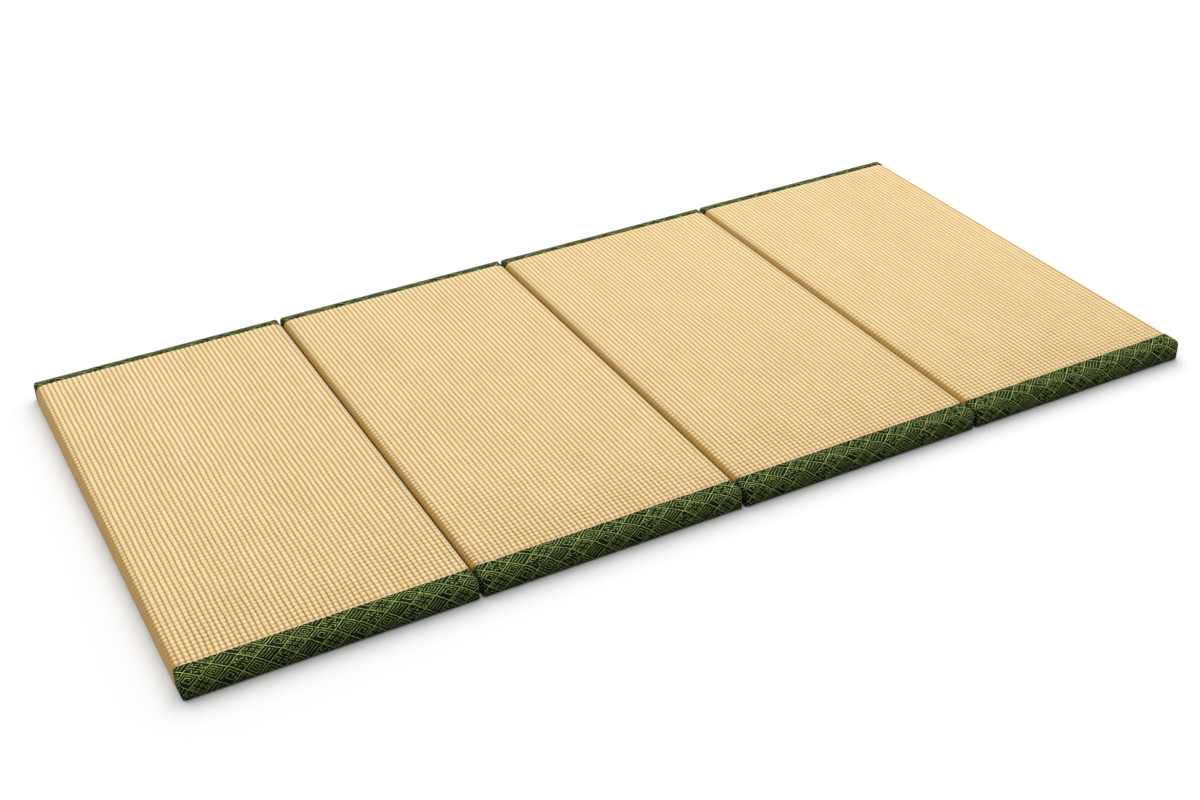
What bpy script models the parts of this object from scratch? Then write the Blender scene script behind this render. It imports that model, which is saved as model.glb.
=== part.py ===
"""A folding tatami mat, laid out flat: four padded rush panels in a row.

Each panel is a filled pad covered in ribbed rush. A brocade binding is folded
round each of its two ends, and a doubled cloth tape low in each gap joins it
to the next panel.

Metres, +Z up. X runs along the mat, across the fold lines, and Y runs along
them. The origin is the middle of the underside.
"""

import math

import bmesh
import bpy

# The whole mat
MAT_LENGTH = 2.000
MAT_WIDTH = 1.000
FOLD_GAP = 0.003
CLEARANCE = 0.0003

# How each panel lies: its crown and how far it sits off the row's middle line
PANEL_TABLE = (
    {"crown": 0.0010, "shift": 0.0000},
    {"crown": 0.0008, "shift": 0.0006},
    {"crown": 0.0010, "shift": -0.0006},
    {"crown": 0.0007, "shift": 0.0003},
)
PANEL_COUNT = len(PANEL_TABLE)
PANEL_LENGTH = (MAT_LENGTH - (PANEL_COUNT - 1) * FOLD_GAP) / PANEL_COUNT
PANEL_PITCH = PANEL_LENGTH + FOLD_GAP

# Rush pad
RUSH_HEIGHT = 0.0420
RUSH_TOP_RADIUS = 0.0130
RUSH_UNDER_RADIUS = 0.0060
PAD_STATIONS = (0.2, 0.4, 0.6, 0.8)  # shares of the way from the front roll to the back one
ROLL_STEPS = 3
ROLL_DEPTH = 0.0035  # how far back from its end the rush starts to roll down
ROLL_DROP = 0.0020  # how far it has rolled down where it meets the binding

# Brocade binding
FRONT_STRIP = 0.0380  # what shows on top, measured from the mat's outer edge
BACK_STRIP = 0.0260
BINDING_THICKNESS = 0.0015
BINDING_HEIGHT = 0.0400
BINDING_INSET = 0.0010  # how far its sides lie inside the rush's sides
BINDING_RADIUS = 0.0085
UNDER_ROUNDING = 0.45  # the lower edge is rounded less than the upper one
END_STEPS = 3

# Fold tape
TAPE_THICKNESS = 0.0020
TAPE_LOW = 0.0040
TAPE_HIGH = 0.0180
TAPE_END_GAP = 0.0070  # from the front end of the rush to the end of the tape

# Points round a section
CORNER_STEPS = 4
TOP_POINTS = 5

STRAW = (0.76, 0.58, 0.31, 1.0)
GREEN = (0.025, 0.075, 0.025, 1.0)
BROWN = (0.10, 0.06, 0.03, 1.0)


def section(half_length, low, high, top_radius, under_radius, y):
    """Points of a rounded box section at y, anticlockwise seen from the front."""
    corners = (
        (half_length - under_radius, low + under_radius, under_radius, -90),
        (half_length - top_radius, high - top_radius, top_radius, 0),
        (top_radius - half_length, high - top_radius, top_radius, 90),
        (under_radius - half_length, low + under_radius, under_radius, 180),
    )
    points = []
    for corner, (x, z, radius, start) in enumerate(corners):
        for step in range(CORNER_STEPS + 1):
            angle = math.radians(start + 90 * step / CORNER_STEPS)
            points.append((x + radius * math.cos(angle), y, z + radius * math.sin(angle)))
        if corner == 1:
            for step in range(1, TOP_POINTS + 1):
                share = 1 - 2 * step / (TOP_POINTS + 1)
                points.append((share * (half_length - top_radius), y, high))
    return points


def crowned(points, crown):
    """The same points with the top raised towards the middle of the panel."""
    raised = []
    for x, y, z in points:
        across = 1 - (2 * x / PANEL_LENGTH) ** 2
        along = 1 - (2 * y / MAT_WIDTH) ** 2
        raised.append((x, y, z + crown * max(across, 0) * along * z / RUSH_HEIGHT))
    return raised


def drawn_in(y, inset):
    """The binding's outer section at y, drawn in all round by inset."""
    under = min(inset, BINDING_THICKNESS + CLEARANCE)
    radius = max(BINDING_RADIUS - inset, 0.001)
    return section(
        PANEL_LENGTH / 2 - BINDING_INSET - inset,
        under,
        BINDING_HEIGHT - inset,
        radius,
        radius * UNDER_ROUNDING,
        y,
    )


def rounded_end(depth, steps=END_STEPS):
    """Sections over the rounded end of the mat, for a surface depth inside the binding's face.

    They run outwards, towards -Y, and each one is smaller than the last.
    """
    radius = BINDING_RADIUS - depth
    end = -MAT_WIDTH / 2 + depth
    rings = []
    for step in range(steps + 1):
        angle = math.radians(90 * step / steps)
        inward = radius * (1 - math.cos(angle))
        y = end + radius * (1 - math.sin(angle))
        upper = drawn_in(y, depth + inward)
        low = min(depth, BINDING_THICKNESS + CLEARANCE) + inward * UNDER_ROUNDING
        rings.append([(x, y, max(z, low)) for x, _, z in upper])
    return rings


def rolled_end(crown, strip):
    """Sections where the rush rolls down to the binding, running outwards to -Y."""
    end = -MAT_WIDTH / 2 + strip
    rings = []
    for step in range(ROLL_STEPS + 1):
        angle = math.radians(90 * step / ROLL_STEPS)
        y = end + ROLL_DEPTH * (1 - math.sin(angle))
        drop = ROLL_DROP * (1 - math.cos(angle))
        ring = section(
            PANEL_LENGTH / 2 - drop,
            0.0,
            RUSH_HEIGHT - drop,
            RUSH_TOP_RADIUS - drop,
            RUSH_UNDER_RADIUS,
            y,
        )
        rings.append(crowned(ring, crown))
    return rings


def mirrored(rings):
    """The same sections at the other end of the panel, in the opposite order."""
    return [[(x, -y, z) for x, y, z in ring] for ring in reversed(rings)]


def loft(name, rings):
    """A closed mesh that joins each section to the next and closes both ends."""
    shape = bmesh.new()
    loops = [[shape.verts.new(point) for point in ring] for ring in rings]
    for ring, following in zip(loops, loops[1:]):
        for index, vert in enumerate(ring):
            after = (index + 1) % len(ring)
            shape.faces.new((vert, ring[after], following[after], following[index]))
    shape.faces.new(loops[0])
    shape.faces.new(loops[-1])
    bmesh.ops.recalc_face_normals(shape, faces=shape.faces)
    mesh = bpy.data.meshes.new(name)
    shape.to_mesh(mesh)
    shape.free()
    mesh.shade_smooth()
    mesh.set_sharp_from_angle(angle=math.radians(50))
    return mesh


def pad_end(crown, strip):
    """Sections from the end inside the binding to where the rush lies level, at -Y."""
    neck = BINDING_THICKNESS + CLEARANCE
    shoulder = drawn_in(-MAT_WIDTH / 2 + strip, neck)
    inside = [shoulder] + rounded_end(neck)
    return list(reversed(inside)) + list(reversed(rolled_end(crown, strip)))


def rush_pad(name, crown):
    """One filled rush panel, its ends drawn in to go inside the bindings."""
    first = -MAT_WIDTH / 2 + FRONT_STRIP + ROLL_DEPTH
    last = MAT_WIDTH / 2 - BACK_STRIP - ROLL_DEPTH
    middle = []
    for share in PAD_STATIONS:
        y = first + share * (last - first)
        ring = section(PANEL_LENGTH / 2, 0.0, RUSH_HEIGHT, RUSH_TOP_RADIUS, RUSH_UNDER_RADIUS, y)
        middle.append(crowned(ring, crown))
    return loft(name, pad_end(crown, FRONT_STRIP) + middle + mirrored(pad_end(crown, BACK_STRIP)))


def binding(name, strip):
    """A binding at the -Y end: one sheet over the top, the end, the corners and the underside."""
    rim = -MAT_WIDTH / 2 + strip - CLEARANCE
    outer = [drawn_in(rim, 0.0)] + rounded_end(0.0)
    inner = [drawn_in(rim, BINDING_THICKNESS)] + rounded_end(BINDING_THICKNESS)
    return loft(name, list(reversed(outer)) + inner)


def fold_tape(name):
    """A doubled tape on edge in the gap, folded at the top, sewn along both panels."""
    half = MAT_WIDTH / 2 - FRONT_STRIP - TAPE_END_GAP
    radius = TAPE_THICKNESS / 2
    profile = [(-radius, TAPE_LOW), (radius, TAPE_LOW)]
    for step in range(CORNER_STEPS + 1):
        angle = math.pi * step / CORNER_STEPS
        profile.append((radius * math.cos(angle), TAPE_HIGH - radius + radius * math.sin(angle)))
    return loft(name, [[(x, y, z) for x, z in profile] for y in (-half, half)])


def finish(name, colour, roughness):
    """A plain cloth or rush finish."""
    material = bpy.data.materials.new(name)
    material.use_nodes = True
    shader = material.node_tree.nodes["Principled BSDF"]
    shader.inputs["Base Color"].default_value = colour
    shader.inputs["Roughness"].default_value = roughness
    shader.inputs["Metallic"].default_value = 0.0
    return material


def place(mesh, material, parent=None, location=(0, 0, 0), turn=0.0):
    """Puts a mesh into the scene as an object of the mesh's name."""
    mesh.materials.append(material)
    piece = bpy.data.objects.new(mesh.name, mesh)
    piece.location = location
    piece.rotation_euler = (0, 0, turn)
    piece.parent = parent
    bpy.context.scene.collection.objects.link(piece)
    return piece


def panel(number, sizes):
    """One panel: its pad and its two bindings, under an empty at the panel's middle."""
    middle = bpy.data.objects.new(f"panel_{number}", None)
    bpy.context.scene.collection.objects.link(middle)
    middle.location.x = (number - (PANEL_COUNT + 1) / 2) * PANEL_PITCH
    middle.location.y = sizes["shift"]
    pad = rush_pad(f"rush_pad_{number}", sizes["crown"])
    place(pad, finish(f"rush_{number}", STRAW, 0.75), middle)
    for end, strip, turn in (("front", FRONT_STRIP, 0.0), ("back", BACK_STRIP, math.pi)):
        cloth = binding(f"{end}_binding_{number}", strip)
        place(cloth, finish(f"{end}_brocade_{number}", GREEN, 0.85), middle, turn=turn)


def main():
    """Builds the mat from an empty scene."""
    for old in list(bpy.data.objects):
        bpy.data.objects.remove(old)
    for number, sizes in enumerate(PANEL_TABLE, start=1):
        panel(number, sizes)
    for number in range(1, PANEL_COUNT):
        tape = fold_tape(f"fold_tape_{number}")
        x = (number - PANEL_COUNT / 2) * PANEL_PITCH
        place(tape, finish(f"tape_{number}", BROWN, 0.9), location=(x, 0, 0))
    bpy.context.view_layer.update()


main()
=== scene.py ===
"""A folding tatami mat laid out flat: its ribbed rush pads, brocade bindings and fold tapes.

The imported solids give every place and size. Each pad is replaced by a ribbed
rush cover, each binding by a sheet of brocade folded round the end of its
pad, and each tape by a strip of cotton folded double. Metres, +Z up, with X
along the mat and Y along the fold lines.
"""

import logging
import math
from collections.abc import Callable
from dataclasses import dataclass, field
from enum import Enum, IntEnum

import bpy
import numpy as np
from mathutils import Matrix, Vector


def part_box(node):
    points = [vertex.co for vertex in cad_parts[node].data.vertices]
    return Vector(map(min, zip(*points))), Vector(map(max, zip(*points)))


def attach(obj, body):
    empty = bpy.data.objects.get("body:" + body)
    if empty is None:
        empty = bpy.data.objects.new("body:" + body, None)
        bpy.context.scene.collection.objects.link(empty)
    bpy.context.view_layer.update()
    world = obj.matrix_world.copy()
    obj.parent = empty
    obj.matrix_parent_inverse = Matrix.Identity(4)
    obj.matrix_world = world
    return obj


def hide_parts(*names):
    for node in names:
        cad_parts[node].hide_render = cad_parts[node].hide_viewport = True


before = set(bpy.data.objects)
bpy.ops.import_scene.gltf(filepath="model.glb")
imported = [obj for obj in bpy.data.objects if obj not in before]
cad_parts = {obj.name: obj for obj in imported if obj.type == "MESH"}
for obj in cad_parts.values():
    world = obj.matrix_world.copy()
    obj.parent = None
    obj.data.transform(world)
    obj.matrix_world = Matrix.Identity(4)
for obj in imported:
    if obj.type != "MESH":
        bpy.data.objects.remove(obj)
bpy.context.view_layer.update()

LOG = logging.getLogger("tatami")
BODY = "root"
PANEL_COUNT = 4
MM = 0.001
CLEARANCE = 0.3 * MM

Colour = tuple[float, float, float]
Strokes = tuple[tuple[float, float, float, float], ...]
Placing = Callable[[float, float], tuple[float, ...]]


class Slot(Enum):
    """The record's material slots."""

    RUSH = "rush"
    BROCADE = "brocade"
    TAPE = "tape"


class End(Enum):
    """The two long edges of the mat, where the panels' short ends lie."""

    FRONT = -1
    BACK = 1

    @property
    def word(self) -> str:
        """The word that names this end's pieces."""
        return self.name.lower()


class Seed(IntEnum):
    """Where each kind of unevenness starts its random numbers."""

    SLOW = 11
    PATCHY = 31
    QUICK = 51
    BEND = 71
    STAGGER = 90
    CLOTH = 200
    TAPE = 300
    PUFF = 700


# ---------------------------------------------------------------- shader arithmetic


class Field:
    """A number that varies over a surface: one node output, with arithmetic on it."""

    def __init__(self, tree: bpy.types.NodeTree, socket: bpy.types.NodeSocket) -> None:
        """Wraps an output socket of a node tree.

        Args:
            tree: the node tree.
            socket: the output.
        """
        self.tree = tree
        self.socket = socket

    def feed(self, port: bpy.types.NodeSocket) -> None:
        """Links this number into a node's input."""
        self.tree.links.new(self.socket, port)

    def maths(self, operation: str, *others: "Field | float") -> "Field":
        """Puts a Math node after this number.

        Args:
            operation: the Math node's operation.
            others: its second and third inputs, numbers or fields.

        Returns:
            The node's output.
        """
        node = self.tree.nodes.new("ShaderNodeMath")
        node.operation = operation
        self.feed(node.inputs[0])
        for port, other in zip(node.inputs[1:], others):
            if isinstance(other, Field):
                other.feed(port)
            else:
                port.default_value = other
        return Field(self.tree, node.outputs[0])

    def __add__(self, other: "Field | float") -> "Field":
        """Sum."""
        return self.maths("ADD", other)

    def __sub__(self, other: "Field | float") -> "Field":
        """Difference."""
        return self.maths("SUBTRACT", other)

    def __mul__(self, other: "Field | float") -> "Field":
        """Product."""
        return self.maths("MULTIPLY", other)

    def inverse(self) -> "Field":
        """One minus this number."""
        return (self * -1.0) + 1.0

    def floor(self) -> "Field":
        """The whole part."""
        return self.maths("FLOOR")

    def fract(self) -> "Field":
        """The part after the point."""
        return self.maths("FRACT")

    def size(self) -> "Field":
        """The number without its sign."""
        return self.maths("ABSOLUTE")

    def least(self, other: "Field | float") -> "Field":
        """The smaller of two."""
        return self.maths("MINIMUM", other)

    def most(self, other: "Field | float") -> "Field":
        """The larger of two."""
        return self.maths("MAXIMUM", other)

    def rise(self, low: float, high: float) -> "Field":
        """Goes smoothly from 0 at low to 1 at high, and stays there.

        Args:
            low: where it starts to rise.
            high: where it has risen.

        Returns:
            The risen number.
        """
        node = self.tree.nodes.new("ShaderNodeMapRange")
        node.interpolation_type = "SMOOTHSTEP"
        self.feed(node.inputs["Value"])
        node.inputs["From Min"].default_value = low
        node.inputs["From Max"].default_value = high
        return Field(self.tree, node.outputs["Result"])

    def near(self, middle: float, reach: float, soft: float) -> "Field":
        """1 within reach of a value, falling to 0 over a soft edge."""
        return (self - middle).size().rise(reach, reach + soft).inverse()


class Bench:
    """One material's node tree, with the sources that its fields start from."""

    def __init__(self, name: str) -> None:
        """Makes an empty material with a Principled shader.

        Args:
            name: the material's name.
        """
        self.material = bpy.data.materials.new(name)
        self.material.use_nodes = True
        self.tree = self.material.node_tree
        self.shader = self.tree.nodes["Principled BSDF"]

    def set(self, **values: float | tuple[float, ...]) -> None:
        """Sets the shader's own sockets, named in words joined by underscores."""
        for words, value in values.items():
            self.shader.inputs[words.replace("_", " ")].default_value = value

    def chart(self, name: str) -> tuple[Field, Field]:
        """Both coordinates of a named UV map.

        Args:
            name: the map's name.

        Returns:
            Its first and second coordinates.
        """
        source = self.tree.nodes.new("ShaderNodeUVMap")
        source.uv_map = name
        split = self.tree.nodes.new("ShaderNodeSeparateXYZ")
        self.tree.links.new(source.outputs[0], split.inputs[0])
        return Field(self.tree, split.outputs[0]), Field(self.tree, split.outputs[1])

    def attribute(self, name: str) -> Field:
        """A number stored on the mesh's points.

        Args:
            name: the attribute's name.

        Returns:
            The number.
        """
        source = self.tree.nodes.new("ShaderNodeAttribute")
        source.attribute_name = name
        return Field(self.tree, source.outputs["Fac"])

    def place(self) -> bpy.types.NodeSocket:
        """The object's own coordinates, in metres."""
        return self.tree.nodes.new("ShaderNodeTexCoord").outputs["Object"]

    def axis(self, number: int) -> Field:
        """One of the object's own coordinates, in metres.

        Args:
            number: 0 for x, 1 for y, 2 for the height.

        Returns:
            The coordinate.
        """
        split = self.tree.nodes.new("ShaderNodeSeparateXYZ")
        self.tree.links.new(self.place(), split.inputs[0])
        return Field(self.tree, split.outputs[number])

    def pair(self, x: Field, y: Field) -> bpy.types.NodeSocket:
        """Two fields as a vector.

        Args:
            x: its first number.
            y: its second.

        Returns:
            The vector.
        """
        node = self.tree.nodes.new("ShaderNodeCombineXYZ")
        x.feed(node.inputs[0])
        y.feed(node.inputs[1])
        return node.outputs[0]

    def noise(self, vector: bpy.types.NodeSocket, scale: float, detail: float = 2.0) -> Field:
        """Soft cloudy noise from 0 to 1.

        Args:
            vector: where the noise is read.
            scale: how many clouds to a unit.
            detail: how many finer layers it has.

        Returns:
            The noise.
        """
        node = self.tree.nodes.new("ShaderNodeTexNoise")
        self.tree.links.new(vector, node.inputs["Vector"])
        node.inputs["Scale"].default_value = scale
        node.inputs["Detail"].default_value = detail
        return Field(self.tree, node.outputs["Fac"])

    def chance(self, vector: bpy.types.NodeSocket) -> Field:
        """A different number from 0 to 1 for each different vector.

        Args:
            vector: what picks the number.

        Returns:
            The number.
        """
        node = self.tree.nodes.new("ShaderNodeTexWhiteNoise")
        node.noise_dimensions = "2D"
        self.tree.links.new(vector, node.inputs["Vector"])
        return Field(self.tree, node.outputs["Value"])

    def blend(
        self,
        share: Field,
        first: Colour | bpy.types.NodeSocket,
        second: Colour | bpy.types.NodeSocket,
    ) -> bpy.types.NodeSocket:
        """A colour that goes from one to another.

        Args:
            share: how far it has gone, from 0 to 1.
            first: the colour at 0.
            second: the colour at 1.

        Returns:
            The blended colour.
        """
        node = self.tree.nodes.new("ShaderNodeMix")
        node.data_type = "RGBA"
        share.feed(node.inputs["Factor"])
        for port, colour in ((node.inputs[6], first), (node.inputs[7], second)):
            if isinstance(colour, tuple):
                port.default_value = (*colour, 1.0)
            else:
                self.tree.links.new(colour, port)
        return node.outputs[2]

    def colour(self, socket: bpy.types.NodeSocket) -> None:
        """Uses a colour as the shader's base colour."""
        self.tree.links.new(socket, self.shader.inputs["Base Color"])

    def roughness(self, amount: Field) -> None:
        """Uses a field as the shader's roughness."""
        amount.feed(self.shader.inputs["Roughness"])

    def bump(self, height: Field, distance: float) -> None:
        """Raises the shader's normal by a height field whose full range is distance, in metres.

        Args:
            height: the relief, from 0 to 1.
            distance: its depth.
        """
        node = self.tree.nodes.new("ShaderNodeBump")
        node.inputs["Distance"].default_value = distance
        node.inputs["Strength"].default_value = 1.0
        height.feed(node.inputs["Height"])
        self.tree.links.new(node.outputs["Normal"], self.shader.inputs["Normal"])


# ---------------------------------------------------------------- finishes


@dataclass(frozen=True)
class RushFinish:
    """Dried woven rush: pale ribs, with painted shade in the grooves, along the dents and in pits where
    strands cross.
    """

    ribs: int
    cells: int
    crown: Colour = (0.705, 0.570, 0.324)
    shade: Colour = (0.592, 0.430, 0.192)
    # A painted highlight, used on the strands and along the top of each shoulder above a gap.
    glint: Colour = (0.780, 0.670, 0.430)
    # The next three colours are painted shade: low on the sides, on shoulders that face another panel, and
    # deep in the gaps between panels.
    side: Colour = (0.420, 0.250, 0.060)
    shoulder: Colour = (0.400, 0.225, 0.040)
    fold: Colour = (0.130, 0.058, 0.008)
    # The next three colours are painted shade: across the valleys of the ribs, in the grooves and dents, and
    # in the pits where they cross.
    valley_shade: Colour = (0.480, 0.325, 0.104)
    groove: Colour = (0.265, 0.135, 0.022)
    pit_shade: Colour = (0.130, 0.065, 0.016)
    rib_end: Colour = (0.84, 0.64, 0.38)
    strands_per_cell: float = 3.0
    twist: float = 0.9
    side_heights: tuple[float, float] = (38.0 * MM, 42.0 * MM)
    shoulder_heights: tuple[float, float] = (30.0 * MM, 41.0 * MM)
    fold_heights: tuple[float, float] = (28.0 * MM, 34.0 * MM)
    crest_height: float = 38.0 * MM
    crest_reach: float = 1.4 * MM
    glint_share: float = 0.62
    shoulder_share: float = 0.90
    outer_pleat_share: float = 0.30
    inner_pleat_share: float = 0.72
    rib_end_share: float = 0.60
    flat_groove_share: float = 0.78
    flat_valley_share: float = 0.42
    crown_crossing_share: float = 0.52
    fibre_relief: float = 0.35 * MM

    def between(self, across: Field, margin: float) -> Field:
        """1 over the ribs and a margin of rib widths on each side, 0 past it.

        Args:
            across: the place across the ribs.
            margin: the margin, in ribs.

        Returns:
            The mask.
        """
        soft = 0.12
        entered = across.rise(-margin - soft, -margin)
        return entered * across.rise(self.ribs + margin, self.ribs + margin + soft).inverse()

    def plain(self, bench: Bench, across: Field, along: Field, tone: Field) -> bpy.types.NodeSocket:
        """The straw's own colour with painted highlights on its strands, before the painted shade of the
        weave.

        Args:
            bench: the material's bench.
            across: the place across the ribs.
            along: the place along the cells.
            tone: how much darker the straw is here, from 0 to 1, before each rib and cell differs.

        Returns:
            The colour.
        """
        rib_tone = bench.chance(bench.pair(across.floor(), across * 0.0))
        cell_tone = bench.chance(bench.pair(across.floor(), along.floor()))
        tone = tone + (rib_tone - 0.5) * 0.22 + (cell_tone - 0.5) * 0.30
        straw = bench.blend(tone.least(1.0).most(0.0), self.crown, self.shade)
        # Painted highlights along the twisted strands.
        turned = along * 3.2 + across.fract() * self.twist
        glints = bench.noise(bench.pair(across * 2.0, turned), 1.0, 2.0)
        return bench.blend(glints.rise(0.52, 0.68) * self.glint_share, straw, self.glint)

    def sides(self, bench: Bench, straw: bpy.types.NodeSocket, pleat: Field) -> bpy.types.NodeSocket:
        """Paints shade on the sides, in the pleats and in the gaps between panels, and paints a highlight on
        the edge above a gap.

        Args:
            bench: the material's bench.
            straw: the colour so far.
            pleat: 1 in the pleats round the shoulders.

        Returns:
            The new colour.
        """
        height = bench.axis(2)
        inner = bench.attribute("inner")
        # Painted shade low on the sides, full on left-facing sides.
        low_side = height.rise(*self.side_heights).inverse() * bench.attribute("side_shade")
        # Painted shade on shoulders that face another panel, darkest deep in the gap.
        low_shoulder = height.rise(*self.shoulder_heights).inverse() * inner
        in_fold = height.rise(*self.fold_heights).inverse() * inner
        # A painted highlight along the top of a shoulder that faces a gap.
        crest_highlight = bench.attribute("crest_highlight") * height.near(self.crest_height, self.crest_reach, self.crest_reach)
        pleat_share = inner * (self.inner_pleat_share - self.outer_pleat_share) + self.outer_pleat_share
        straw = bench.blend(low_side, straw, self.side)
        straw = bench.blend(low_shoulder * self.shoulder_share, straw, self.shoulder)
        straw = bench.blend(crest_highlight, straw, self.glint)
        # Painted shade in the pleat valleys round the shoulders.
        straw = bench.blend(pleat * pleat_share, straw, self.groove)
        return bench.blend(in_fold * self.shoulder_share, straw, self.fold)

    def material(self, name: str) -> bpy.types.Material:
        """Builds the material.

        Args:
            name: the material's name.

        Returns:
            A material that reads the weave chart and the cover's four attributes.
        """
        bench = Bench(name)
        across, along = bench.chart("weave")
        dent = bench.attribute("dent")
        in_ribs = self.between(across, 1.0)
        from_groove = ((across.fract() - 0.5).size() * -1.0) + 0.5
        from_dent = ((along.fract() - 0.5).size() * -1.0) + 0.5
        # Masks of painted shade: the grooves, the valleys of the ribs, the dents and the pleats.
        groove = from_groove.rise(0.03, 0.22).inverse() * in_ribs
        valley_shade = from_groove.rise(0.10, 0.42).inverse() * in_ribs
        crossing = from_dent.rise(0.0, 0.25).inverse() * dent
        pleat = from_dent.rise(0.0, 0.32).inverse() * self.between(across, 0.0).inverse() * dent
        at_front = along.rise(-0.05, 0.30).inverse()
        at_end = at_front.most(along.rise(self.cells - 0.30, self.cells + 0.05))
        ended = (at_end * -0.55) + 1.0

        twisted = along * self.strands_per_cell + across.fract() * self.twist
        strand = (twisted.fract() - 0.5).size().rise(0.28, 0.50)
        streaks = bench.noise(bench.pair(across * 0.9, along * 7.0), 1.0, 3.0)
        patches = bench.noise(bench.place(), 7.0, 2.0)
        tone = (streaks - 0.5) * 0.85 + (patches - 0.5) * 0.35 + strand * 0.24 + 0.36
        straw = self.sides(bench, self.plain(bench, across, along, tone), pleat)
        straw = bench.blend(at_end * in_ribs * self.rib_end_share, straw, self.rib_end)
        # Painted shade across the valleys, in the grooves and along the dents.
        valley_share = ended * (dent * 0.22 + self.flat_valley_share)
        straw = bench.blend(valley_shade * valley_share, straw, self.valley_shade)
        depth = groove * ended * ((patches - 0.5) * 0.3 + 0.85)
        groove_share = (dent * 0.20 + self.flat_groove_share).least(1.0)
        straw = bench.blend(depth.least(1.0) * groove_share, straw, self.groove)
        crossing_share = in_ribs * (valley_shade * 0.40 + self.crown_crossing_share)
        straw = bench.blend(crossing.least(1.0) * crossing_share, straw, self.groove)
        # Painted shade in random pits where grooves cross dents.
        chance = bench.chance(bench.pair((across + 0.5).floor(), (along + 0.5).floor()))
        pit_shade_share = (groove * crossing * chance).rise(0.30, 0.85)
        bench.colour(bench.blend(pit_shade_share, straw, self.pit_shade))

        bench.roughness((streaks * 0.18) + 0.50)
        bench.set(Specular_IOR_Level=0.20, Sheen_Weight=0.03, Sheen_Roughness=0.5)
        bench.bump(streaks * 0.8 - strand * 0.5, self.fibre_relief)
        return bench.material


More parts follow.
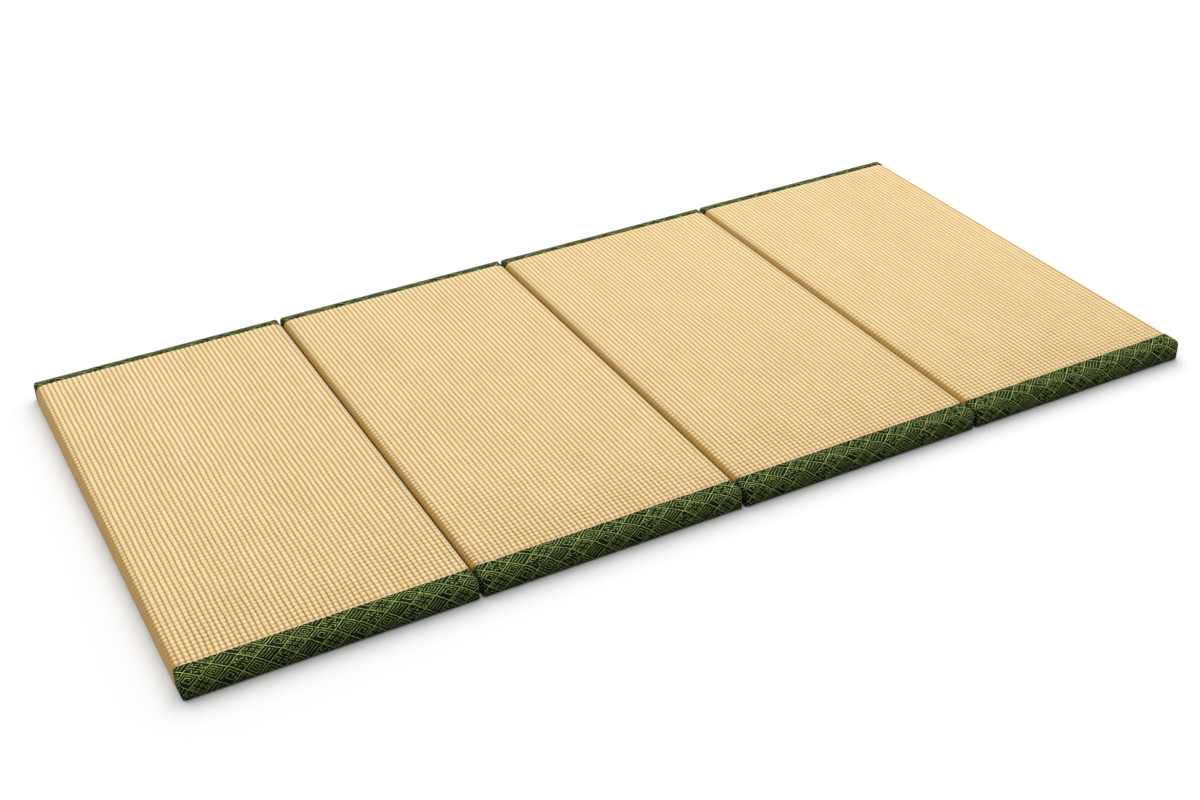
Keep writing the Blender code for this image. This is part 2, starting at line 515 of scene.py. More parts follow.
@dataclass(frozen=True)
class BrocadeFinish:
    """Dark green brocade with raised yellow-green lines: a lattice of diamonds filled in turn.

    Each diamond is charted on a unit square, a and b running along its two sides. The end face is painted
    darker towards the floor as shade, and each corner fold gets a painted dark crease.
    """

    pitch_along: float = 43.0 * MM
    pitch_across: float = 38.5 * MM
    ground: Colour = (0.0030, 0.0095, 0.0030)
    lit_ground: Colour = (0.0080, 0.0210, 0.0065)
    thread: Colour = (0.545, 0.645, 0.180)
    # Painted shade: the end face darkens towards the floor, darkest underneath.
    deep: Colour = (0.0030, 0.0065, 0.0020)
    # Painted shade in the crease where each corner fold is tucked in.
    crease_shade: Colour = (0.0008, 0.0016, 0.0005)
    gloss: tuple[float, float, float, float] = (0.35, 0.55, 0.20, 1.0)
    tuck_at: float = 249.5 * MM
    tuck_reach: float = 1.6 * MM
    tuck_soft: float = 1.2 * MM
    thread_relief: float = 0.35 * MM
    line: float = 0.011
    lattice: float = 0.0125
    soft: float = 0.010
    bar_count: float = 5.3
    squares: float = 3.0
    weights: tuple[float, ...] = (0.70, 0.60, 0.80, 0.80, 0.54)
    key: Strokes = (
        (0.17, 0.17, 0.83, 0.17),
        (0.83, 0.17, 0.83, 0.83),
        (0.83, 0.83, 0.31, 0.83),
        (0.31, 0.83, 0.31, 0.34),
        (0.31, 0.34, 0.66, 0.34),
        (0.66, 0.34, 0.66, 0.65),
        (0.66, 0.65, 0.48, 0.65),
    )
    hooks: Strokes = (
        (0.09, 0.10, 0.09, 0.37),
        (0.09, 0.37, 0.25, 0.37),
        (0.25, 0.09, 0.25, 0.22),
        (0.25, 0.09, 0.38, 0.09),
    )

    def reach(self, a: Field, b: Field) -> Field:
        """How far a place is from the cell's middle, along the farther of its two sides."""
        return (a - 0.5).size().most((b - 0.5).size())

    def framed(self, a: Field, b: Field, half: float) -> Field:
        """A soft-edged mask of the cell's middle, half to each side."""
        return self.reach(a, b).rise(half, half + self.soft).inverse()

    def ring(self, a: Field, b: Field, half: float) -> Field:
        """A square line at a distance from the cell's middle."""
        return self.reach(a, b).near(half, self.line, self.soft)

    def edge(self, a: Field) -> Field:
        """The lattice line along the two edges where a is 0 and 1."""
        return (a - 0.5).size().rise(0.5 - self.lattice - self.soft, 0.5 - self.lattice)

    def drawn(self, a: Field, b: Field, strokes: Strokes) -> Field:
        """Straight strokes, each from one charted point to another.

        Args:
            a: the place along the cell's first side.
            b: the place along its second side.
            strokes: the two ends of each stroke.

        Returns:
            The mask of all of them.
        """
        figure = a * 0.0
        for a1, b1, a2, b2 in strokes:
            beside = a.near((a1 + a2) / 2, abs(a2 - a1) / 2 + self.line, self.soft)
            beyond = b.near((b1 + b2) / 2, abs(b2 - b1) / 2 + self.line, self.soft)
            figure = figure.most(beside * beyond)
        return figure

    def nested(self, a: Field, b: Field) -> Field:
        """Two diamonds inside each other round a dot."""
        rings = self.ring(a, b, 0.33).most(self.ring(a, b, 0.17))
        return rings.most(self.framed(a, b, 0.030))

    def bars(self, a: Field, b: Field) -> Field:
        """Short bars side by side."""
        stripe = ((b * self.bar_count).fract() - 0.5).size().rise(0.38, 0.44)
        return stripe * self.framed(a, b, 0.37)

    def chequer(self, a: Field, b: Field) -> Field:
        """Small squares in threes, each with its own outline."""
        within = self.reach((a * self.squares).fract(), (b * self.squares).fract())
        return within.near(0.24, 0.034, 0.030) * self.framed(a, b, 0.44)

    def figure(self, bench: Bench, along: Field, across: Field) -> Field:
        """The lattice and the drawings in its diamonds.

        Args:
            bench: the material's bench.
            along: the place along the cloth, in metres.
            across: the place across the cloth, in metres.

        Returns:
            1 on a full-strength line, 0 on the ground.
        """
        wobble = (bench.noise(bench.place(), 55.0, 1.0) - 0.5) * 0.10
        jog = (bench.noise(bench.place(), 230.0, 1.0) - 0.5) * 0.055
        scaled_along = along * (1 / self.pitch_along) + wobble
        scaled_across = across * (1 / self.pitch_across) + jog
        first = scaled_along + scaled_across
        second = scaled_along - scaled_across
        a, b = first.fract(), second.fract()
        drawings = (
            self.nested(a, b),
            self.bars(a, b),
            self.drawn(a, b, self.key),
            self.drawn((a - 0.5).size(), (b - 0.5).size(), self.hooks),
            self.chequer(a, b),
        )
        kind = (first.floor() + second.floor() * 2.0).maths("FLOORED_MODULO", float(len(drawings)))
        figure = self.edge(a).most(self.edge(b))
        for number, drawing in enumerate(drawings):
            figure = figure.most(kind.near(number, 0.2, 0.01) * drawing * self.weights[number])
        return figure

    def material(self, name: str) -> bpy.types.Material:
        """Builds the material.

        Args:
            name: the material's name.

        Returns:
            A material that reads the cloth chart, in metres.
        """
        bench = Bench(name)
        along, across = bench.chart("cloth")
        place = bench.place()
        figure = self.figure(bench, along, across)
        worn = (bench.noise(place, 90.0, 2.0) * 0.9 + 0.50).least(1.0)
        speckle = bench.noise(place, 420.0, 2.0)
        figure = figure * worn * (speckle.rise(0.38, 0.60) * 0.66 + 0.42)
        ground = bench.blend(speckle.rise(0.35, 0.75), self.ground, self.lit_ground)
        cloth = bench.blend(figure, ground, self.thread)
        # Painted shade: darker down the end face towards the floor, and darkest underneath.
        shaded = across.rise(-46.0 * MM, -2.0 * MM).inverse() * 0.62
        cloth = bench.blend(shaded, cloth, self.deep)
        # Painted shade in the crease where each corner fold is tucked in, low down at the corner.
        on_end = across.rise(-16.0 * MM, -6.0 * MM).inverse()
        tuck_shade = along.size().near(self.tuck_at, self.tuck_reach, self.tuck_soft) * on_end
        bench.colour(bench.blend(tuck_shade * 0.95, cloth, self.crease_shade))
        bench.roughness((figure * -0.15) + 0.85)
        bench.set(Specular_IOR_Level=0.03, Sheen_Weight=0.01, Sheen_Roughness=0.45)
        bench.set(Sheen_Tint=self.gloss)
        threads = ((along * 1100.0).fract() - 0.5).size() + ((across * 900.0).fract() - 0.5).size()
        bench.bump(figure + threads * 0.15, self.thread_relief)
        return bench.material


@dataclass(frozen=True)
class TapeFinish:
    """Plain brown cotton tape in a fine twill."""

    light: Colour = (0.105, 0.062, 0.030)
    dark: Colour = (0.045, 0.025, 0.012)
    lines_per_metre: float = 700.0

    def material(self, name: str) -> bpy.types.Material:
        """Builds the material.

        Args:
            name: the material's name.

        Returns:
            A material that reads the object's own coordinates.
        """
        bench = Bench(name)
        slant = (bench.axis(1) + bench.axis(2)) * self.lines_per_metre
        twill = (slant.fract() - 0.5).size() * 2.0
        uneven = bench.noise(bench.place(), 40.0, 3.0)
        bench.colour(bench.blend(twill * 0.6 + uneven * 0.4, self.dark, self.light))
        bench.roughness(uneven * 0.15 + 0.78)
        bench.bump(twill, 0.15 * MM)
        return bench.material


@dataclass(frozen=True)
class FloorFinish:
    """The plain pale floor of the studio."""

    paint: tuple[float, float, float, float] = (0.70, 0.70, 0.70, 1.0)

    def material(self, name: str) -> bpy.types.Material:
        """Builds the material, named as given.

        Args:
            name: the material's name.

        Returns:
            The floor's material.
        """
        bench = Bench(name)
        bench.set(Base_Color=self.paint, Roughness=0.9, Specular_IOR_Level=0.0)
        return bench.material


# ---------------------------------------------------------------- mesh work


class Unevenness:
    """Smooth wandering numbers over a plane: a sum of seeded waves, about -1 to 1."""

    def __init__(self, seed: int, shortest: float, longest: float, waves: int = 9) -> None:
        """Draws the waves.

        Args:
            seed: the random seed.
            shortest: the shortest wavelength.
            longest: the longest wavelength.
            waves: how many waves are added.
        """
        draw = np.random.default_rng(seed)
        length = np.exp(draw.uniform(math.log(shortest), math.log(longest), waves))
        turn = draw.uniform(0, 2 * math.pi, waves)
        self.along = 2 * math.pi / length * np.cos(turn)
        self.across = 2 * math.pi / length * np.sin(turn)
        self.start = draw.uniform(0, 2 * math.pi, waves)

    def at(self, x: np.ndarray, y: np.ndarray) -> np.ndarray:
        """The value at each place.

        Args:
            x: places along one side.
            y: places along the other.

        Returns:
            The sum of the waves there.
        """
        total = np.zeros(np.broadcast(x, y).shape)
        for along, across, start in zip(self.along, self.across, self.start):
            total += np.sin(along * x + across * y + start)
        return total / math.sqrt(len(self.start))


def smooth_mesh(
    name: str, points: np.ndarray, faces: list[tuple[int, ...]], chart: str, places: np.ndarray
) -> bpy.types.Mesh:
    """A smooth-shaded mesh with one UV map.

    Args:
        name: the mesh's name.
        points: its points, one row each.
        faces: the points round each face.
        chart: the UV map's name.
        places: the map's coordinates, one row for each face corner.

    Returns:
        The mesh.
    """
    mesh = bpy.data.meshes.new(name)
    mesh.from_pydata(points.tolist(), [], faces)
    layer = mesh.uv_layers.new(name=chart)
    layer.uv.foreach_set("vector", places.astype(np.float32).ravel())
    mesh.shade_smooth()
    mesh.update()
    return mesh


def add(name: str, data: bpy.types.ID) -> bpy.types.Object:
    """Makes an object of a mesh, light or camera and links it into the scene.

    Args:
        name: the object's name.
        data: what it shows.

    Returns:
        The object.
    """
    thing = bpy.data.objects.new(name, data)
    bpy.context.scene.collection.objects.link(thing)
    return thing


def put(mesh: bpy.types.Mesh, material: bpy.types.Material, node: str) -> bpy.types.Object:
    """Places a finished mesh in the scene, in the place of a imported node.

    Args:
        mesh: the mesh, in the frame's own coordinates.
        material: its material.
        node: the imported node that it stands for.

    Returns:
        The new piece.
    """
    mesh.materials.append(material)
    piece = add(mesh.name, mesh)
    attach(piece, BODY)
    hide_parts(node)
    LOG.info("%s: %d faces for %s", piece.name, len(mesh.polygons), node)
    return piece


def ring_mesh(
    name: str, rings: np.ndarray, chart: str, across: np.ndarray, along: np.ndarray
) -> bpy.types.Mesh:
    """A closed mesh through rings of points, with a cap on each end and its faces outwards.

    Args:
        name: the mesh's name.
        rings: the points, ring by ring from front to back, anticlockwise seen from the front.
        chart: the UV map's name.
        across: the map's first coordinate round a ring, up to its first point again.
        along: the map's second coordinate at each ring.

    Returns:
        The mesh.
    """
    count, wide = rings.shape[:2]
    faces, places = [], []
    for r in range(count - 1):
        for c in range(wide):
            n = (c + 1) % wide
            faces.append((r * wide + c, (r + 1) * wide + c, (r + 1) * wide + n, r * wide + n))
            places += [(across[c], along[r]), (across[c], along[r + 1])]
            places += [(across[c + 1], along[r + 1]), (across[c + 1], along[r])]
    for r, ring in ((0, range(wide)), (count - 1, range(wide - 1, -1, -1))):
        faces.append(tuple(r * wide + c for c in ring))
        places += [(across[c], along[r]) for c in ring]
    return smooth_mesh(name, rings.reshape(-1, 3), faces, chart, np.array(places))


@dataclass
class Packed:
    """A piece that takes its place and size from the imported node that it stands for."""

    number: int
    low: np.ndarray = field(init=False)
    high: np.ndarray = field(init=False)

    def __post_init__(self) -> None:
        """Reads the node's box from the frame."""
        self.low, self.high = (np.array(corner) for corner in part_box(self.node))

    @property
    def node(self) -> str:
        """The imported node's name."""
        raise NotImplementedError

    @property
    def middle(self) -> np.ndarray:
        """The middle of the box."""
        return (self.low + self.high) / 2

    @property
    def half(self) -> float:
        """Half the box's length along the mat."""
        return (self.high[0] - self.low[0]) / 2


@dataclass(frozen=True)
class Weave:
    """The rush cover's ribs and the cells along them."""

    ribs: int = 50
    cells: int = 92
    fine_cells: int = 30
    rib_phases: tuple[float, ...] = (0.0, 0.14, 0.38, 0.62, 0.86)
    fine_phases: tuple[float, ...] = (0.0, 0.18, 0.50, 0.82)
    plain_phases: tuple[float, ...] = (0.0, 0.30, 0.70)
    groove_depth: float = 1.15 * MM
    dent_depth: float = 1.45 * MM
    pleat_depth: float = 1.8 * MM
    dent_fade: float = 180.0 * MM
    dent_left: float = 0.34
    patchiness: float = 0.12

    def rib_shape(self, phase: np.ndarray) -> np.ndarray:
        """Height across a rib, from 0 in the groove to 1 on its crown."""
        return np.abs(np.sin(np.pi * phase)) ** 0.48

    def cell_shape(self, phase: np.ndarray) -> np.ndarray:
        """Height along a cell, from 0 in the dent to 1 in its middle."""
        return np.abs(np.sin(np.pi * phase)) ** 0.5


@dataclass
class RushPad(Packed):
    """One padded panel in its ribbed rush cover, with its ends drawn in under the bindings."""

    weave: Weave
    top_radius: float = 13.0 * MM
    under_radius: float = 6.0 * MM
    plain_edge: float = 13.8 * MM
    crown: float = 1.0 * MM
    binding_lift: float = 3.8 * MM
    neck_side: float = 2.8 * MM
    neck_under: float = 1.8 * MM
    neck_short: float = 9.0 * MM
    roll_depth: float = 3.5 * MM
    roll_drop: float = 1.2 * MM
    overhang: float = 1.6 * MM
    front_scallop: float = 1.0 * MM
    back_scallop: float = 2.4 * MM
    waver: float = 0.55 * MM
    jitter: float = 0.30 * MM
    stagger: float = 0.19
    puff: float = 0.22 * MM
    rims: dict[End, float] = field(init=False)

    def __post_init__(self) -> None:
        """Reads the pad's box, and where its bindings stop, from the frame."""
        super().__post_init__()
        self.rims = {
            End.FRONT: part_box(f"front_binding_{self.number}")[1][1] + CLEARANCE,
            End.BACK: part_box(f"back_binding_{self.number}")[0][1] - CLEARANCE,
        }

    @property
    def node(self) -> str:
        """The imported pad's name."""
        return f"rush_pad_{self.number}"

    @property
    def rib_pitch(self) -> float:
        """The width of one rib."""
        return 2 * (self.half - self.plain_edge) / self.weave.ribs

    def section(self) -> np.ndarray:
        """The columns round the panel, from the middle of the underside over the right side.

        Returns:
            One row for each column: x, z, the outward normal in x and z, its place
            across the ribs, its height on its rib, and how far it is on top.
        """
        half, top, over, under = self.half, self.surface, self.top_radius, self.under_radius
        right = [(share * (half - under), 0.0, 0.0, -1.0) for share in (0.0, 0.35, 0.7, 0.95)]
        for step in range(4):
            angle = math.radians(-90 + 30 * step)
            c, s = math.cos(angle), math.sin(angle)
            right.append((half - under + under * c, under + under * s, c, s))
        for share in (0.3, 0.65):
            right.append((half, under + share * (top - over - under), 1.0, 0.0))
        for step in range(7):
            angle = math.radians(15 * step)
            c, s = math.cos(angle), math.sin(angle)
            right.append((half - over + over * c, top - over + over * s, c, s))
        arc = np.cumsum([0.0] + [math.dist(p[:2], q[:2]) for p, q in zip(right[1:], right)])
        reach = arc[-1] + self.plain_edge - over
        rows = []
        for (x, z, nx, nz), along in zip(right, arc):
            beyond = (reach - along) / self.rib_pitch
            rows.append((x, z, nx, nz, self.weave.ribs + beyond, 1.0, max(nz, 0.0)))
        ribs = [(rib + phase, phase) for rib in range(self.weave.ribs) for phase in self.weave.rib_phases]
        for place, phase in reversed([*ribs, (float(self.weave.ribs), 0.0)]):
            x = (place - self.weave.ribs / 2) * self.rib_pitch
            height = float(self.weave.rib_shape(np.array(phase)))
            rows.append((x, top, 0.0, 1.0, place, height, 1.0))
        for x, z, nx, nz, place, height, up in reversed(rows[1 : len(right)]):
            rows.append((-x, z, -nx, nz, self.weave.ribs - place, height, up))
        return np.array(rows)

    @property
    def surface(self) -> float:
        """The height of the rib crowns at the panel's edges, under the crown of the whole."""
        return self.high[2] - self.crown

    def rows(self) -> np.ndarray:
        """The rows along the panel, from the front rush end to the back one.

        Returns:
            One row for each: y and its place in cells.
        """
        start = self.rims[End.FRONT] + self.roll_depth
        stop = self.rims[End.BACK] - self.roll_depth
        pitch = (stop - start) / self.weave.cells
        found = []
        for cell in range(self.weave.cells):
            fine = cell < self.weave.fine_cells
            for phase in self.weave.fine_phases if fine else self.weave.plain_phases:
                found.append((start + (cell + phase) * pitch, cell + phase))
        found.append((stop, float(self.weave.cells)))
        return np.array(found)

    def relief(self, column: np.ndarray, row: np.ndarray) -> tuple[np.ndarray, np.ndarray]:
        """How far each point lies under the smooth surface.

        Args:
            column: the section's columns.
            row: the rows along the panel.

        Returns:
            The depth at each row and column, and the strength of the dents there.
        """
        weave = self.weave
        place, height, up = column[None, :, 4], column[None, :, 5], column[None, :, 6]
        y, cell = row[:, 0, None], row[:, 1, None]
        on_ribs = (place >= 0) & (place <= weave.ribs)
        side = np.clip(column[None, :, 1] / self.surface, 0, 1) ** 2
        from_front = y - row[0, 0]
        strength = weave.dent_left + (1 - weave.dent_left) * np.exp(-from_front / weave.dent_fade)
        patches = Unevenness(Seed.PATCHY + self.number, 0.05, 0.30).at(column[None, :, 0], y)
        strength = np.clip(strength * (1 + weave.patchiness * patches), 0.12, 1.15)
        dent = np.where(on_ribs, strength, np.maximum(strength, 0.8) * side)
        depth = np.where(on_ribs, weave.dent_depth * height, weave.pleat_depth)
        depth = depth * dent * (1 - weave.cell_shape(cell))
        depth += np.where(on_ribs, weave.groove_depth * (1 - height), 0.0)
        draw = np.random.default_rng(Seed.PUFF + self.number)
        puffs = draw.uniform(-1, 1, (weave.cells + 1, weave.ribs + 1))
        rib_index = np.clip(np.floor(place), 0, weave.ribs - 1).astype(int)
        cell_index = np.floor(cell).astype(int)
        depth -= on_ribs * height * self.puff * puffs[cell_index, rib_index] * weave.cell_shape(cell)
        return depth, dent * np.ones_like(up)

    def wander(self, column: np.ndarray, row: np.ndarray) -> tuple[np.ndarray, np.ndarray]:
        """How far each point is pushed sideways and along by the uneven weaving.

        Args:
            column: the section's columns.
            row: the rows along the panel.

        Returns:
            The shifts in x and in y.
        """
        place, y, cell = column[None, :, 4], row[:, 0, None], row[:, 1, None]
        inside = np.clip(np.minimum(place, self.weave.ribs - place) / 3, 0, 1)
        ends = np.clip(np.minimum(cell, self.weave.cells - cell) / 2, 0, 1)
        slow = Unevenness(Seed.SLOW + self.number, 0.06, 0.35).at(place * self.rib_pitch, y)
        quick = Unevenness(Seed.QUICK + self.number, 0.018, 0.05).at(place * self.rib_pitch, y)
        sideways = inside * (self.waver * slow + self.jitter * quick) * (0.3 + 0.7 * ends)
        draw = np.random.default_rng(Seed.STAGGER + self.number)
        steps = draw.uniform(-1, 1, self.weave.ribs + 2)
        shift = np.interp(place - 0.5, np.arange(-1, self.weave.ribs + 1), steps)
        bend = Unevenness(Seed.BEND + self.number, 0.08, 0.40).at(place * self.rib_pitch, y)
        pitch = (row[-1, 0] - row[0, 0]) / self.weave.cells
        along = ends * pitch * (self.stagger * shift * inside + 0.18 * bend)
        return sideways, along

    def surface_points(self, column: np.ndarray, row: np.ndarray) -> tuple[np.ndarray, np.ndarray]:
        """The ribbed surface between the two rolled ends.

        Args:
            column: the section's columns.
            row: the rows along the panel.

        Returns:
            The points, row by row, and the dents' strength at each.
        """
        depth, dent = self.relief(column, row)
        sideways, along = self.wander(column, row)
        x, z = column[None, :, 0], column[None, :, 1]
        y = row[:, 0, None]
        middle = self.middle
        lift = self.crown * np.clip(1 - (x / self.half) ** 2, 0, 1)
        lift = lift * (1 - ((y - middle[1]) / (self.high[1] - middle[1])) ** 2) * z / self.surface
        points = np.empty(depth.shape + (3,))
        points[..., 0] = middle[0] + x + sideways * column[None, :, 6] - column[None, :, 2] * depth
        points[..., 1] = y + along
        points[..., 2] = z + lift - column[None, :, 3] * depth * (z > 0)
        return points, dent

    def rolled_rows(self, column: np.ndarray, edge: np.ndarray, end: End) -> list[np.ndarray]:
        """The rows that roll down to the binding and go in under it.

        Args:
            column: the section's columns.
            edge: the last row of the ribbed surface.
            end: which end of the panel.

        Returns:
            The rows, going outwards.
        """
        way = end.value
        nx, nz, height, up = column[:, 2], column[:, 3], column[:, 5], column[:, 6]
        on_ribs = (column[:, 4] >= 0) & (column[:, 4] <= self.weave.ribs)
        facing = np.clip(np.maximum(up, np.abs(nx)), 0, 1) * (column[:, 1] > 0)
        rim = self.rims[end]
        tip = rim + way * np.where(on_ribs, self.overhang, 0.0)
        scallop = self.front_scallop if end is End.FRONT else self.back_scallop
        tip = tip - way * scallop * np.where(on_ribs, 1 - height, 0.0)
        found = []
        for angle in np.radians((22.5, 45, 67.5, 90)):
            point = edge.copy()
            drop = self.roll_drop * (1 - np.cos(angle)) * facing
            point[:, 1] = edge[:, 1] + (tip - edge[:, 1]) * np.sin(angle)
            point[:, 0] -= nx * drop
            point[:, 2] -= np.maximum(nz, 0) * drop
            found.append(point)
        back = found[-1].copy()
        inside = rim - way * CLEARANCE
        back[:, 1] = np.minimum(tip, inside) if way > 0 else np.maximum(tip, inside)
        found.append(back)
        neck = back.copy()
        neck[:, 0] = self.middle[0] + column[:, 0] * (self.half - self.neck_side) / self.half
        room = self.surface - self.binding_lift - self.neck_under
        neck[:, 2] = self.neck_under + column[:, 1] / self.surface * room
        found.append(neck)
        last = neck.copy()
        outer = self.low[1] if end is End.FRONT else self.high[1]
        last[:, 1] = outer - way * self.neck_short
        found.append(last)
        return found

    def build(self) -> bpy.types.Object:
        """Builds the whole cover as one closed mesh and puts it in place.

        Returns:
            The new piece.
        """
        column, row = self.section(), self.rows()
        body, dent = self.surface_points(column, row)
        front = self.rolled_rows(column, body[0], End.FRONT)
        back = self.rolled_rows(column, body[-1], End.BACK)
        rings = np.concatenate([np.array(front[::-1]), body, np.array(back)])
        rolled = np.full((len(front), len(column)), 0.6)
        dents = np.concatenate([rolled, dent, rolled])
        beyond = 0.05 + 0.10 * np.arange(len(front))
        cell = np.concatenate([-beyond[::-1], row[:, 1], self.weave.cells + beyond])
        across = np.append(column[:, 4], self.weave.ribs - column[0, 4])
        mesh = ring_mesh(f"ribbed_rush_{self.number}", rings, "weave", across, cell)
        self.store_sides(mesh, column, dents)
        finish = RushFinish(self.weave.ribs, self.weave.cells)
        piece = put(mesh, finish.material(f"straw_rush_{self.number}"), self.node)
        return piece

    def store_sides(self, mesh: bpy.types.Mesh, column: np.ndarray, dents: np.ndarray) -> None:
        """Stores on the mesh the dents' strength, and where the finish paints shade on the sides and in the
        gaps and a highlight above a gap.

        Args:
            mesh: the cover's mesh.
            column: the section's columns.
            dents: the dents' strength at each point.
        """
        left = column[:, 2] < 0
        joined = self.number < PANEL_COUNT
        # Where shade is painted in the gaps: the left-hand side of each panel after the first.
        inner = np.where(left, self.number > 1, 0.0)
        on_side = (np.abs(column[:, 2]) > 0.01) * np.ones((len(dents), 1))
        # How much painted shade each side gets: all of it on left-facing sides, some on the last panel's
        # outer right side, none beside a gap.
        side_shade = np.where(left, 1.0, 0.0 if joined else 0.4)
        # Where the painted highlight goes: the right-hand shoulder of each panel with a neighbour.
        crest_highlight = np.where(left, 0.0, float(joined))
        charted = {"dent": dents, "inner": inner * on_side, "side_shade": side_shade * on_side, "crest_highlight": crest_highlight * on_side}
        for name, values in charted.items():
            store = mesh.attributes.new(name, "FLOAT", "POINT")
            store.data.foreach_set("value", values.astype(np.float32).ravel())


@dataclass
class ClothNet:
    """A folded cloth's points and faces, with the place of each face corner on the flat cloth."""

    points: list[tuple[float, ...]] = field(default_factory=list)
    faces: list[tuple[int, ...]] = field(default_factory=list)
    places: list[tuple[float, float]] = field(default_factory=list)
    numbers: dict[tuple[int, ...], int] = field(default_factory=dict)

    def corner(self, point: tuple[float, ...]) -> int:
        """The number of the point at a place, which is added if it is new.

        Args:
            point: the place.

        Returns:
            The point's number.
        """
        key = tuple(round(value / MM * 1000) for value in point)
        if key not in self.numbers:
            self.numbers[key] = len(self.points)
            self.points.append(point)
        return self.numbers[key]

    def patch(
        self, first: np.ndarray, second: np.ndarray, place: Placing, flat: Placing, flip: bool = False
    ) -> None:
        """Adds a grid of faces over two sides.

        Args:
            first: places along one side.
            second: places along the other.
            place: gives the point in space for two such places.
            flat: gives the point on the flat cloth.
            flip: whether the faces turn the other way.
        """
        for a, after_a in zip(first, first[1:]):
            for b, after_b in zip(second, second[1:]):
                ring = [(a, b), (after_a, b), (after_a, after_b), (a, after_b)]
                if flip:
                    ring.reverse()
                self.faces.append(tuple(self.corner(place(*pair)) for pair in ring))
                self.places.extend(flat(*pair) for pair in ring)


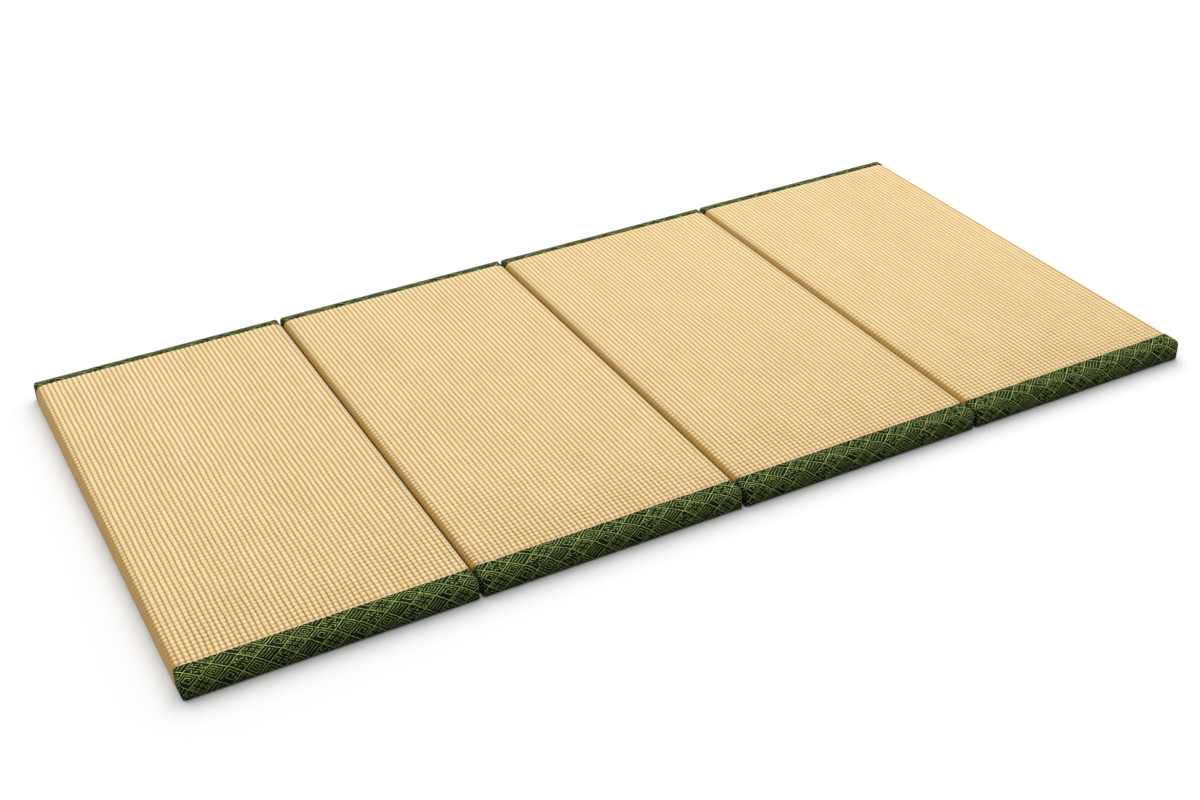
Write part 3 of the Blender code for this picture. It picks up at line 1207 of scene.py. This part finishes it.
@dataclass
class EndBinding(Packed):
    """Brocade folded round one end of a panel: top strip, end face, corners and underside."""

    end: End
    radius: float = 8.5 * MM
    side_radius: float = 5.0 * MM
    under_rounding: float = 0.45
    thickness: float = 1.4 * MM
    fine_step: float = 1.0 * MM
    step: float = 6.0 * MM
    corner_zone: float = 13.0 * MM
    pucker: float = 0.30 * MM
    tuck_depth: float = 0.9 * MM
    tuck_width: float = 1.0 * MM
    tuck_place: float = 1.6 * MM

    @property
    def node(self) -> str:
        """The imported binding's name."""
        return f"{self.end.word}_binding_{self.number}"

    def stations(self, length: float, fine_start: bool, fine_end: bool) -> np.ndarray:
        """Places along one side of the cloth, closer together near the corners.

        Args:
            length: the side's length.
            fine_start: whether it starts at a corner.
            fine_end: whether it ends at one.

        Returns:
            The places, from 0 to the length.
        """
        first = self.corner_zone if fine_start else 0.0
        last = length - (self.corner_zone if fine_end else 0.0)
        parts = []
        if fine_start:
            parts.append(np.linspace(0, first, round(first / self.fine_step), endpoint=False))
        parts.append(np.linspace(first, last, max(2, round((last - first) / self.step)), endpoint=False))
        if fine_end:
            parts.append(np.linspace(last, length, round((length - last) / self.fine_step), endpoint=False))
        return np.append(np.concatenate(parts), length)

    def folded(self, box_point: np.ndarray) -> np.ndarray:
        """Rounds points of the plain box to the soft shape of the cloth.

        Args:
            box_point: points on the box, as (across the panel, inwards from the end, up).

        Returns:
            The same points on the rounded shape, in the same axes.
        """
        tall = self.high[2] - self.low[2]
        under = self.radius * self.under_rounding
        core_low = np.array([self.side_radius - self.half, self.radius, under])
        core_high = np.array([self.half - self.side_radius, math.inf, tall - self.radius])
        core = np.clip(box_point, core_low, core_high)
        away = box_point - core
        scale = np.full(away.shape, self.radius)
        scale[..., 0] = self.side_radius
        scale[..., 2] = np.where(away[..., 2] < 0, under, self.radius)
        shaped = away / scale
        length = np.maximum(np.linalg.norm(shaped, axis=-1, keepdims=True), 1e-9)
        largest = np.abs(shaped).max(axis=-1, keepdims=True)
        return core + shaped / length * largest * scale

    def sheet(self) -> ClothNet:
        """The outside of the cloth on a plain box, as (across, inwards, up).

        Returns:
            Its net, still with sharp edges.
        """
        half = self.half
        _, deep, tall = self.high - self.low
        along = self.stations(2 * half, True, True) - half
        inward = self.stations(deep, True, False)
        upward = self.stations(tall, True, True)
        net = ClothNet()
        net.patch(along, inward, lambda x, y: (x, y, tall), lambda x, y: (x, y))
        net.patch(along, upward, lambda x, z: (x, 0.0, z), lambda x, z: (x, z - tall))
        net.patch(along, inward, lambda x, y: (x, y, 0.0), lambda x, y: (x, -tall - y), flip=True)
        net.patch(inward, upward, lambda y, z: (half, y, z), lambda y, z: (half + y, z - tall))
        net.patch(inward, upward, lambda y, z: (-half, y, z), lambda y, z: (-half - y, z - tall), flip=True)
        return net

    def tucks(self, box_point: np.ndarray) -> np.ndarray:
        """How deep the cloth is pressed in where its corner fold closes.

        Args:
            box_point: points on the plain box.

        Returns:
            The depth at each.
        """
        on_side = np.abs(np.abs(box_point[:, 0]) - self.half) < 0.001 * MM
        line = np.exp(-(((box_point[:, 1] - self.tuck_place) / self.tuck_width) ** 2))
        return on_side * line * self.tuck_depth

    def pressed(self, box_point: np.ndarray) -> np.ndarray:
        """How far each point of the soft, uneven cloth moves in from the rounded shape.

        Args:
            box_point: points on the plain box.

        Returns:
            The move of each point.
        """
        half, tall, core = self.half, self.high[2] - self.low[2], 10.0 * MM
        within = np.clip(box_point, [core - half, core, core], [half - core, 1.0, tall - core])
        inwards = within - box_point
        inwards /= np.maximum(np.linalg.norm(inwards, axis=1, keepdims=True), 1e-9)
        loose = Unevenness(Seed.CLOTH + self.number + 10 * self.end.value, 0.03, 0.12)
        press = self.pucker * (0.5 + 0.5 * loose.at(box_point[:, 0], box_point[:, 1] - box_point[:, 2]))
        press = np.where(box_point[:, 2] > tall * 0.2, press, 0.0) + self.tucks(box_point)
        return inwards * press[:, None]

    def build(self, pad: bpy.types.Object) -> bpy.types.Object:
        """Builds the folded cloth and puts it in place.

        Args:
            pad: the pad that it is folded round; not used.

        Returns:
            The new piece.
        """
        net = self.sheet()
        box_point = np.array(net.points)
        shape = self.folded(box_point) + self.pressed(box_point)
        way = -self.end.value
        outer = self.low[1] if self.end is End.FRONT else self.high[1]
        points = shape * (way, way, 1) + (self.middle[0], outer, self.low[2])
        places = np.array(net.places)
        mesh = smooth_mesh(f"{self.end.word}_brocade_{self.number}", points, net.faces, "cloth", places)
        finish = BrocadeFinish().material(f"{self.end.word}_green_brocade_{self.number}")
        piece = put(mesh, finish, self.node)
        body = piece.modifiers.new("cloth thickness", "SOLIDIFY")
        body.thickness = self.thickness
        body.offset = -1.0
        return piece


@dataclass
class FoldTape(Packed):
    """A cotton tape folded double, low in the gap between two panels."""

    thickness: float = 0.75 * MM
    bend_steps: int = 6
    lengths: int = 60
    sway: float = 0.10 * MM
    inner_drop: float = 0.4 * MM

    @property
    def node(self) -> str:
        """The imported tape's name."""
        return f"fold_tape_{self.number}"

    def build(self, pads: list[bpy.types.Object]) -> bpy.types.Object:
        """Builds the folded tape and puts it in place.

        Args:
            pads: the two pads that it joins; not used.

        Returns:
            The new piece.
        """
        low, high = self.low, self.high
        radius = self.half - self.sway
        bend = high[2] - radius - self.sway
        outline = [(radius, low[2])]
        for angle in np.linspace(0, math.pi, self.bend_steps + 1):
            outline.append((radius * math.cos(angle), bend + radius * math.sin(angle)))
        outline.append((-radius, low[2]))
        narrow = 1 - self.thickness / radius
        inner = [(x * narrow, z - (z > low[2]) * self.inner_drop) for x, z in outline]
        section = np.array(outline + inner[::-1])
        stations = np.linspace(low[1], high[1], self.lengths + 1)
        sway = Unevenness(Seed.TAPE + self.number, 0.04, 0.2).at(stations, stations * 0)
        rings = np.empty((len(stations), len(section), 3))
        rings[..., 0] = self.middle[0] + section[:, 0] + np.clip(sway, -1, 1)[:, None] * self.sway
        rings[..., 1] = stations[:, None]
        rings[..., 2] = section[:, 1]
        around = np.arange(len(section) + 1)
        mesh = ring_mesh(f"cotton_tape_{self.number}", rings, "tape", around, stations)
        mesh.set_sharp_from_angle(angle=math.radians(50))
        piece = put(mesh, TapeFinish().material(f"brown_cotton_{self.number}"), self.node)
        return piece


@dataclass(frozen=True)
class Studio:
    """The floor, the light and the camera."""

    floor_size: float = 60.0
    floor_gap: float = 0.2 * MM
    sky: float = 0.70
    sky_lean: float = 0.45
    sky_side: tuple[float, float, float] = (0.4, 0.9165, 0.0)
    backdrop: float = 0.99
    sun: float = 2.42
    sun_tilt: float = 25.0
    sun_turn: float = -15.0
    sun_spread: float = 70.0
    lamp: float = 18.0
    lamp_size: float = 2.5
    lamp_place: tuple[float, float, float] = (1.6, 1.4, 2.2)
    camera_place: tuple[float, float, float] = (-1.3197, -2.5342, 1.7448)
    camera_turn: tuple[float, float, float] = (57.884, 1.463, -28.075)
    lens: float = 51.33

    def floor(self) -> None:
        """Lays the plain pale floor under the mat."""
        mesh = bpy.data.meshes.new("floor")
        reach = self.floor_size / 2
        corners = [(-reach, -reach), (reach, -reach), (reach, reach), (-reach, reach)]
        mesh.from_pydata([(x, y, -self.floor_gap) for x, y in corners], [], [(0, 1, 2, 3)])
        mesh.materials.append(FloorFinish().material("pale_floor"))
        floor = add("floor", mesh)

    def key_light(self) -> None:
        """Sets a broad soft light above and behind the mat."""
        sun = bpy.data.lights.new("soft_overhead", "SUN")
        sun.energy = self.sun
        sun.angle = math.radians(self.sun_spread)
        lamp = add("soft_overhead", sun)
        lamp.rotation_euler = (math.radians(-self.sun_tilt), 0, math.radians(self.sun_turn))

    def far_light(self) -> None:
        """Hangs a large soft lamp over the far end of the mat, which is a little brighter."""
        panel = bpy.data.lights.new("far_softbox", "AREA")
        panel.energy = self.lamp
        panel.size = self.lamp_size
        add("far_softbox", panel).location = self.lamp_place

    def sky_light(self) -> None:
        """Sets a soft white sky, brighter behind the mat than in front of it, on a plain backdrop."""
        world = bpy.data.worlds.new("studio_sky")
        bpy.context.scene.world = world
        world.use_nodes = True
        tree = world.node_tree
        direction = tree.nodes.new("ShaderNodeTexCoord").outputs["Generated"]
        behind = tree.nodes.new("ShaderNodeVectorMath")
        behind.operation = "DOT_PRODUCT"
        behind.inputs[1].default_value = self.sky_side
        tree.links.new(direction, behind.inputs[0])
        glow = Field(tree, behind.outputs["Value"]) * (self.sky * self.sky_lean) + self.sky
        seen = Field(tree, tree.nodes.new("ShaderNodeLightPath").outputs["Is Camera Ray"])
        background = tree.nodes["Background"]
        background.inputs["Color"].default_value = (1, 1, 1, 1)
        (glow * seen.inverse() + seen * self.backdrop).feed(background.inputs["Strength"])

    def camera(self) -> None:
        """Sets the camera at its place, looking down along the mat."""
        lens = bpy.data.cameras.new("camera")
        lens.sensor_width = 36.0
        lens.lens = self.lens
        camera = add("camera", lens)
        camera.location = self.camera_place
        camera.rotation_euler = tuple(math.radians(turn) for turn in self.camera_turn)
        bpy.context.scene.camera = camera

    def set_up(self) -> None:
        """Sets up the whole studio, with plain colour handling."""
        self.floor()
        self.key_light()
        self.far_light()
        self.sky_light()
        self.camera()
        bpy.context.scene.view_settings.view_transform = "Standard"


def main() -> None:
    """Builds the mat, panel by panel, and the studio round it."""
    logging.basicConfig(level=logging.INFO, format="%(name)s: %(message)s")
    weave = Weave()
    pads = []
    for number in range(1, PANEL_COUNT + 1):
        pad = RushPad(number, weave).build()
        for end in End:
            EndBinding(number, end).build(pad)
        pads.append(pad)
    for number in range(1, PANEL_COUNT):
        FoldTape(number).build(pads[number - 1 : number + 1])
    Studio().set_up()


if __name__ == "__main__":
    main()
